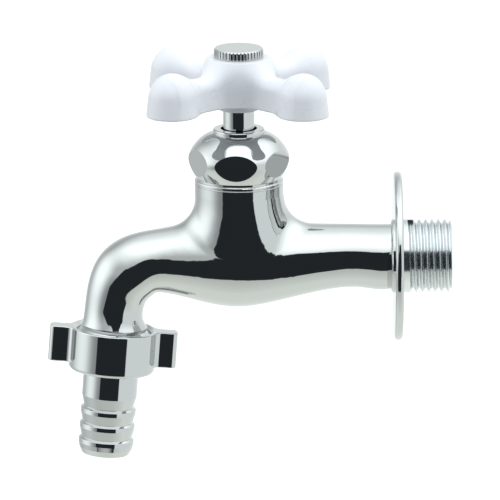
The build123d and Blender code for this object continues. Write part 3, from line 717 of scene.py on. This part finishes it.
class TAP_OT_stage(bpy.types.Operator):
    """Sets up the floor, the studio's light and the camera"""

    bl_idname = "tap.stage"
    bl_label = "Stage"

    def execute(self, context):
        stage = context.scene.tap_stage
        view = context.scene.tap_camera
        colours = context.scene.tap_colours
        reach, front, drop = stage.floor_reach, stage.floor_front, stage.floor_drop
        mesh = bpy.data.meshes.new("studio_floor")
        mesh.from_pydata(
            [(-reach, -front, -drop), (reach, -front, -drop), (reach, reach, -drop), (-reach, reach, -drop)],
            [], [(0, 1, 2, 3)],
        )
        floor = bpy.data.objects.new("studio_floor", mesh)
        context.scene.collection.objects.link(floor)
        material, tree = new_material("pale_painted_floor")
        paint = add_node(tree, "ShaderNodeBsdfDiffuse", [("Color", linear(colours.floor))])
        rays = add_node(tree, "ShaderNodeLightPath")
        # Onto the tap it throws back less than it shows, so that the handle's underside stays shaded
        bounce = add_node(tree, "ShaderNodeBsdfDiffuse", [("Color", linear("#B7BAB5"))])
        glow = add_node(tree, "ShaderNodeEmission", [("Strength", stage.floor_glow)])
        seen = add_node(tree, "ShaderNodeAddShader", [(0, paint.outputs[0]), (1, glow.outputs[0])])
        lit = add_node(
            tree, "ShaderNodeMixShader",
            [(0, rays.outputs["Is Camera Ray"]), (1, bounce.outputs[0]), (2, seen.outputs[0])],
        )
        # The chrome mirrors the studio's own pattern where the floor would be
        clear = add_node(tree, "ShaderNodeBsdfTransparent")
        both = add_node(
            tree, "ShaderNodeMixShader",
            [(0, rays.outputs["Is Glossy Ray"]), (1, lit.outputs[0]), (2, clear.outputs[0])],
        )
        add_node(tree, "ShaderNodeOutputMaterial", [("Surface", both.outputs[0])])
        mesh.materials.append(material)

        world = bpy.data.worlds.new("studio")
        context.scene.world = world
        world.use_nodes = True
        tree = world.node_tree
        tree.nodes.clear()
        toward = add_node(tree, "ShaderNodeTexCoord").outputs["Generated"]
        pattern, dark, low = studio_pattern(tree, toward)
        rays = add_node(tree, "ShaderNodeLightPath")
        mirrored = add_node(
            tree, "ShaderNodeMath",
            [(0, rays.outputs["Is Glossy Ray"]), (1, rays.outputs["Is Transmission Ray"])], operation="MAXIMUM",
        )
        matt = add_node(
            tree, "ShaderNodeMix", [("Factor", low), ("A", stage.diffuse_level), ("B", stage.diffuse_low)],
        )
        level = add_node(
            tree, "ShaderNodeMix", [("Factor", mirrored.outputs[0]), ("A", matt.outputs["Result"]), ("B", 1.0)],
        )
        strength = add_node(
            tree, "ShaderNodeMath", [(0, pattern), (1, level.outputs["Result"])], operation="MULTIPLY",
        )
        tint = add_node(
            tree, "ShaderNodeMix", [("Factor", low), (6, linear("#F8FFFF")), (7, linear("#F9FFF8"))],
            data_type="RGBA",
        )
        walls = add_node(
            tree, "ShaderNodeBackground", [("Color", tint.outputs[2]), ("Strength", strength.outputs[0])],
        )
        # The unlit part gives matt surfaces a little more than the chrome mirrors of it
        murk = add_node(
            tree, "ShaderNodeMix",
            [("Factor", mirrored.outputs[0]), ("A", stage.unlit_matt), ("B", stage.unlit_mirrored)],
        )
        unlit = add_node(
            tree, "ShaderNodeBackground", [("Color", linear("#DAEFFF")), ("Strength", murk.outputs["Result"])],
        )
        light = add_node(tree, "ShaderNodeMixShader", [(0, dark), (1, walls.outputs[0]), (2, unlit.outputs[0])])
        backdrop = add_node(tree, "ShaderNodeBackground", [("Color", linear("#FFFFFF")), ("Strength", 1.0)])
        mixed = add_node(
            tree, "ShaderNodeMixShader",
            [(0, rays.outputs["Is Camera Ray"]), (1, light.outputs[0]), (2, backdrop.outputs[0])],
        )
        add_node(tree, "ShaderNodeOutputWorld", [("Surface", mixed.outputs[0])])

        lens = bpy.data.cameras.new("camera")
        camera = bpy.data.objects.new("camera", lens)
        context.scene.collection.objects.link(camera)
        context.scene.camera = camera
        a, e = view.azimuth, view.elevation
        back = Vector((sin(a) * cos(e), -cos(a) * cos(e), sin(e)))
        camera.location = Vector(view.aim) + back * view.distance
        camera.rotation_mode = "QUATERNION"
        upright = (-back).to_track_quat("-Z", "Y")
        camera.rotation_quaternion = upright @ Matrix.Rotation(-view.roll, 3, "Z").to_quaternion()
        lens.lens = lens.sensor_width * view.distance / view.width_seen
        lens.clip_start, lens.clip_end = 0.05, 50.0
        context.scene.view_settings.view_transform = "Standard"
        return {"FINISHED"}


class TAP_OT_casting(bpy.types.Operator):
    """Finishes the casting, the wall flange and the bonnet nut, which keep their solid shapes"""

    bl_idname = "tap.casting"
    bl_label = "Casting, flange and bonnet"

    def execute(self, context):
        finish_nodes(("tap_body", "wall_flange", "bonnet_nut"), polished_chrome())
        return {"FINISHED"}


class TAP_OT_valve(bpy.types.Operator):
    """Finishes the spindle, the valve and the packing inside the tap"""

    bl_idname = "tap.valve"
    bl_label = "Spindle and valve"

    def execute(self, context):
        finish_nodes(("spindle", "cap_screw"), polished_chrome())
        finish_nodes(
            ("packing_seat", "packing_follower", "jumper_valve", "jumper_nut", "handle_bush"), turned_brass(),
        )
        finish_nodes(("spindle_packing", "jumper_washer", "hose_gasket"), black_rubber())
        return {"FINISHED"}


class TAP_OT_handle(bpy.types.Operator):
    """Makes the cross handle"""

    bl_idname = "tap.handle"
    bl_label = "Cross handle"

    def execute(self, context):
        sizes = context.scene.tap_handle
        low, high = (Vector(corner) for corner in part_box("cross_handle"))
        axis_x = (low.x + high.x) / 2
        # The arms and lobes start above the foot of the hub, which is a short boss
        foot, base, top = low.z, low.z + 2.0 * MM, high.z
        foot_radius, foot_edge, foot_blend = 6.0 * MM, 0.5 * MM, 0.9 * MM
        foot_root, base_edge = 3.0 * MM, 0.6 * MM
        bore_radius, bush_radius = 4.6 * MM, 5.75 * MM
        bush_foot, bush_top = top - 9.65 * MM, top - 0.75 * MM
        # An arm is a rounded bar that widens and rises towards the hub
        arm_round, swell_start, swell_reach, swell_width = 3.4 * MM, 6.0 * MM, 4.0 * MM, 1.1 * MM
        # The hub widens from its waist upwards and narrows again to its top, by the same slope
        waist_radius, hub_slope, hub_round, top_edge = 6.5 * MM, 0.40, 2.5 * MM, 0.9 * MM
        # Share of a level offset that is distance to that slope
        upright = 0.93
        cell = 0.45 * MM
        heading = radians(45) + sizes.turn

        def arm(along, across, z):
            swell = np.exp(-(((along - swell_start) / swell_reach) ** 2))
            width = sizes.arm_width / 2 + swell_width * swell
            height = base + sizes.arm_height + sizes.hub_swell * swell
            return np.maximum(rounded_max(across - width, z - height, arm_round), along - sizes.lobe_distance)

        def lobe(along, across, z):
            reach = np.hypot(along - sizes.lobe_distance, across)
            rise = z - base - sizes.lobe_shoulder
            radius = sizes.lobe_radius - rise * np.tan(sizes.lobe_draft)
            dome = sizes.lobe_height - sizes.lobe_shoulder
            rise = np.maximum(rise, 0.0)
            near = np.hypot(reach / radius, rise / dome)
            steep = np.hypot(reach / radius ** 2, rise / dome ** 2)
            return near * (near - 1.0) / np.maximum(steep, 1e-9)

        def hub(radius, z):
            shoulder = (radius - sizes.hub_top_radius - (top - z) * hub_slope) * upright
            waist = (radius - waist_radius - (z - base) * hub_slope) * upright
            return smooth_max(smooth_max(shoulder, waist, hub_round), z - top, top_edge)

        def handle(points):
            x, y, z = points[:, 0] - axis_x, points[:, 1], points[:, 2]
            one = np.abs(x * cos(heading) + y * sin(heading))
            two = np.abs(y * cos(heading) - x * sin(heading))
            radius = np.hypot(x, y)
            arms = smooth_min(arm(one, two, z), arm(two, one, z), sizes.arm_to_hub)
            lobes = np.minimum(lobe(one, two, z), lobe(two, one, z))
            shape = smooth_min(smooth_min(arms, hub(radius, z), sizes.arm_to_hub), lobes, sizes.arm_to_lobe)
            shape = smooth_max(shape, base - z, base_edge)
            boss = smooth_max(radius - foot_radius, foot - z, foot_edge)
            shape = smooth_min(shape, np.maximum(boss, z - base - foot_root), foot_blend)
            shape = np.maximum(shape, z - top)
            bush = np.maximum(np.maximum(radius - bush_radius, bush_foot - z), z - bush_top)
            return np.maximum(shape, -np.minimum(radius - bore_radius, bush))

        shape = skin(handle, low - MARGIN, high + MARGIN, cell)
        show_piece("moulded_handle", shape, moulded_plastic(), "spindle", "cross_handle")
        return {"FINISHED"}


class TAP_OT_wing_nut(bpy.types.Operator):
    """Makes the wing nut"""

    bl_idname = "tap.wing_nut"
    bl_label = "Wing nut"

    def execute(self, context):
        sizes = context.scene.tap_nut
        mouth, thread, hole = 11.35 * MM, 10.548 * MM, 8.25 * MM
        thread_end, wing_edge, bore_edge = 9.6 * MM, 0.3 * MM, 0.15 * MM
        cell = 0.22 * MM
        to_nut = outlet_place().inverted()
        turn, shift = np.array(to_nut)[:3, :3], np.array(to_nut)[:3, 3]

        def nut(points):
            local = points @ turn.T + shift
            x, y, z = local.T
            radius = np.hypot(x, y)
            side = radius - sizes.radius
            wings = rounded_max(
                np.abs(x) - sizes.wing_reach, np.abs(y) - sizes.wing_thickness / 2, sizes.wing_round,
            )
            winged = rounded_max(
                smooth_min(side, wings, sizes.root_blend),
                np.abs(z - sizes.wing_height / 2) - sizes.wing_height / 2, wing_edge,
            )
            barrel = rounded_max(rounded_max(side, -z, sizes.top_round), z - sizes.height, sizes.bottom_round)
            flare = np.maximum((radius + z - mouth) * sqrt(0.5), z - (mouth - thread))
            bore = np.minimum(np.minimum(np.maximum(radius - thread, z - thread_end), flare), radius - hole)
            return rounded_max(np.minimum(winged, barrel), -bore, bore_edge)

        low, high = (Vector(corner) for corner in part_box("coupling_nut"))
        shape = skin(nut, low - MARGIN, high + MARGIN, cell)
        show_piece("wing_nut", shape, polished_chrome(), "coupling_nut", "coupling_nut")
        return {"FINISHED"}


class TAP_OT_hose_tail(bpy.types.Operator):
    """Makes the barbed hose tail"""

    bl_idname = "tap.hose_tail"
    bl_label = "Hose tail"

    def execute(self, context):
        sizes = context.scene.tap_tail
        bottom = context.scene.tap_nut.height
        end = bottom + sizes.length
        edge = sizes.edge_round
        bore, land = 5.5 * MM, 8.2 * MM
        flange, flange_top, flange_bottom = 10.2 * MM, 7.8 * MM, 9.6 * MM
        shoulder, barb_land = 0.5 * MM, 1.2 * MM
        end_radius, end_bevel, end_edge, bore_edge = 6.7 * MM, 0.9 * MM, 0.5 * MM, 0.2 * MM
        segments = 128
        corners = [
            (bore, flange_top, 0.0), (bore, end, bore_edge), (end_radius, end, end_edge),
            (end_radius + end_bevel, end - 2 * end_bevel, edge),
        ]
        for i in reversed(range(sizes.barbs)):
            top = bottom + sizes.barb_start + sizes.barb_pitch * i
            root = sizes.first_root_radius if i == 0 else sizes.root_radius
            corners += [
                (sizes.barb_radius, top + shoulder + barb_land, edge), (sizes.barb_radius, top + shoulder, edge),
                (root, top, edge),
            ]
        corners += [
            (sizes.neck_radius, bottom + sizes.neck_length, edge), (sizes.neck_radius, bottom, 0.0),
            (land, bottom, edge), (land, flange_bottom, 0.0), (flange, flange_bottom, 0.0), (flange, flange_top, 0.0),
        ]
        shape = revolve(rounded_outline(corners), outlet_place(), segments)
        show_piece("barbed_tail", shape, polished_chrome(), "hose_tail", "hose_tail")
        return {"FINISHED"}


class TAP_PT_panel(bpy.types.Panel):
    """Sizes, colours and pieces of the tap"""

    bl_idname = "TAP_PT_panel"
    bl_label = "Hose Tap"
    bl_space_type = "VIEW_3D"
    bl_region_type = "UI"
    bl_category = "Tap"

    def draw(self, context):
        layout = self.layout
        for title, group in (
            ("Cross handle", context.scene.tap_handle), ("Wing nut", context.scene.tap_nut),
            ("Hose tail", context.scene.tap_tail), ("Finishes", context.scene.tap_colours),
            ("Camera", context.scene.tap_camera), ("Stage", context.scene.tap_stage),
        ):
            box = layout.box()
            box.label(text=title)
            for name in group.bl_rna.properties.keys():
                if name not in ("rna_type", "name"):
                    box.prop(group, name)
        for operator in operators:
            layout.operator(operator.bl_idname)


operators = (TAP_OT_casting, TAP_OT_valve, TAP_OT_handle, TAP_OT_wing_nut, TAP_OT_hose_tail, TAP_OT_stage)
groups = {
    "tap_handle": HandleSizes, "tap_nut": NutSizes, "tap_tail": TailSizes,
    "tap_camera": CameraSettings, "tap_stage": StageSettings, "tap_colours": FinishColours,
}


def register():
    for cls in (*groups.values(), *operators, TAP_PT_panel):
        bpy.utils.register_class(cls)
    for name, group in groups.items():
        setattr(bpy.types.Scene, name, PointerProperty(type=group))


def unregister():
    for name in groups:
        delattr(bpy.types.Scene, name)
    for cls in (TAP_PT_panel, *operators, *groups.values()):
        bpy.utils.unregister_class(cls)


def main():
    """Registers the add-on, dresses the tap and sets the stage."""
    register()
    bpy.ops.tap.casting()
    bpy.ops.tap.valve()
    bpy.ops.tap.handle()
    bpy.ops.tap.wing_nut()
    bpy.ops.tap.hose_tail()
    bpy.ops.tap.stage()


if __name__ == "__main__":
    main()
